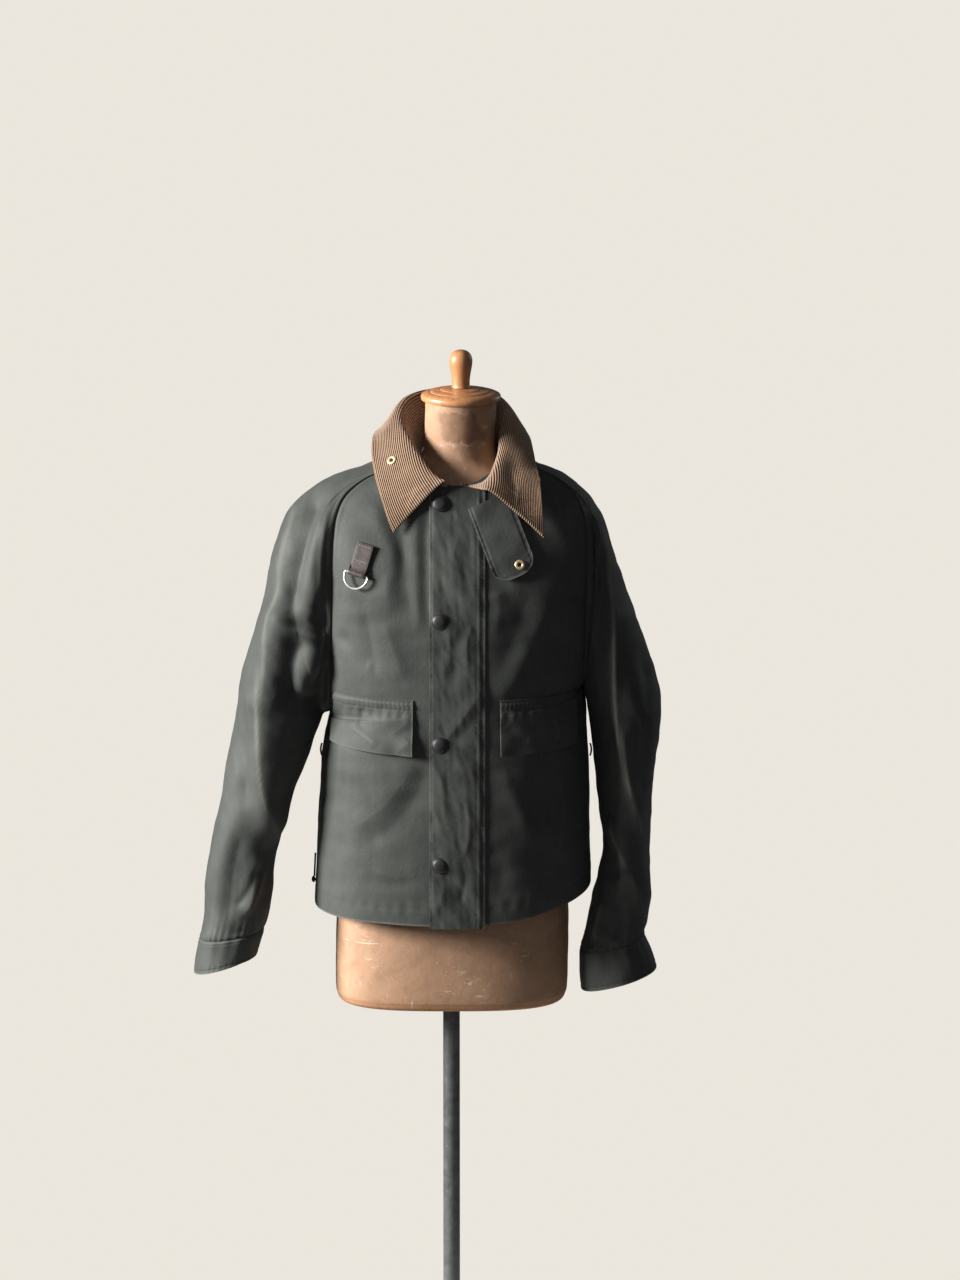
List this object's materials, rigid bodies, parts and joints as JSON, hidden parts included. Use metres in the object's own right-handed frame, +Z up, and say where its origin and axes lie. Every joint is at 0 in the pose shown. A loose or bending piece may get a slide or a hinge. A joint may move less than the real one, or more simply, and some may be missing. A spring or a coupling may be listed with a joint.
{
  "type": "waxed cotton jacket on a dress form",
  "caption": "Short waxed cotton jacket with raglan sleeves, corduroy collar, storm fly and pocket flaps, filled out by a limbless dress form on a pole stand.",
  "frame": {"origin": "on the floor, at the centre of the base plate's underside", "axes": "+Z up the pole, -Y the way the jacket faces, +X the wearer's left"},
  "size_m": [0.6655, 0.34, 1.5782],
  "materials": {
    "wax_cloth": "dark olive waxed cotton with a soft oily sheen",
    "corduroy": "brown wide-wale corduroy",
    "black_enamel": "satin black enamel",
    "eyelet_brass": "polished brass",
    "tab_leather": "dark brown strap leather",
    "ring_nickel": "nickel-plated wire",
    "black_cord": "braided black cord",
    "form_cover": "worn tan cover with scratches",
    "varnished_wood": "turned wood, orange-brown varnish",
    "pole_steel": "dark grey steel",
    "base_iron": "dark grey cast iron"
  },
  "bodies": {
    "root": {"front_right": "wax_cloth", "front_left": "wax_cloth", "back": "wax_cloth", "sleeve_right": "wax_cloth", "sleeve_left": "wax_cloth", "cuff_right": "wax_cloth", "cuff_left": "wax_cloth", "collar": "corduroy", "storm_fly": "wax_cloth", "throat_flap": "wax_cloth", "pocket_flap_right": "wax_cloth", "pocket_flap_left": "wax_cloth", "snap_cap_1": "black_enamel", "snap_cap_2": "black_enamel", "snap_cap_3": "black_enamel", "snap_cap_4": "black_enamel", "eyelet_throat": "eyelet_brass", "eyelet_collar": "eyelet_brass", "ring_tab": "tab_leather", "side_loop_right": "black_cord", "side_loop_left": "black_cord", "hem_cord": "black_cord", "hem_cord_knot": "black_cord", "dress_form": "form_cover", "neck_cap": "varnished_wood", "finial": "varnished_wood", "pole": "pole_steel", "base_plate": "base_iron"},
    "d_ring": {"d_ring": "ring_nickel"}
  },
  "joints": [
    {"name": "ring_swing", "type": "hinge", "parent": "root", "child": "d_ring", "pos_m": [-0.13172, -0.1167, 1.28016], "axis": [-0.906, 0.3576, 0.2265], "range_deg": [0, 100]}
  ]
}
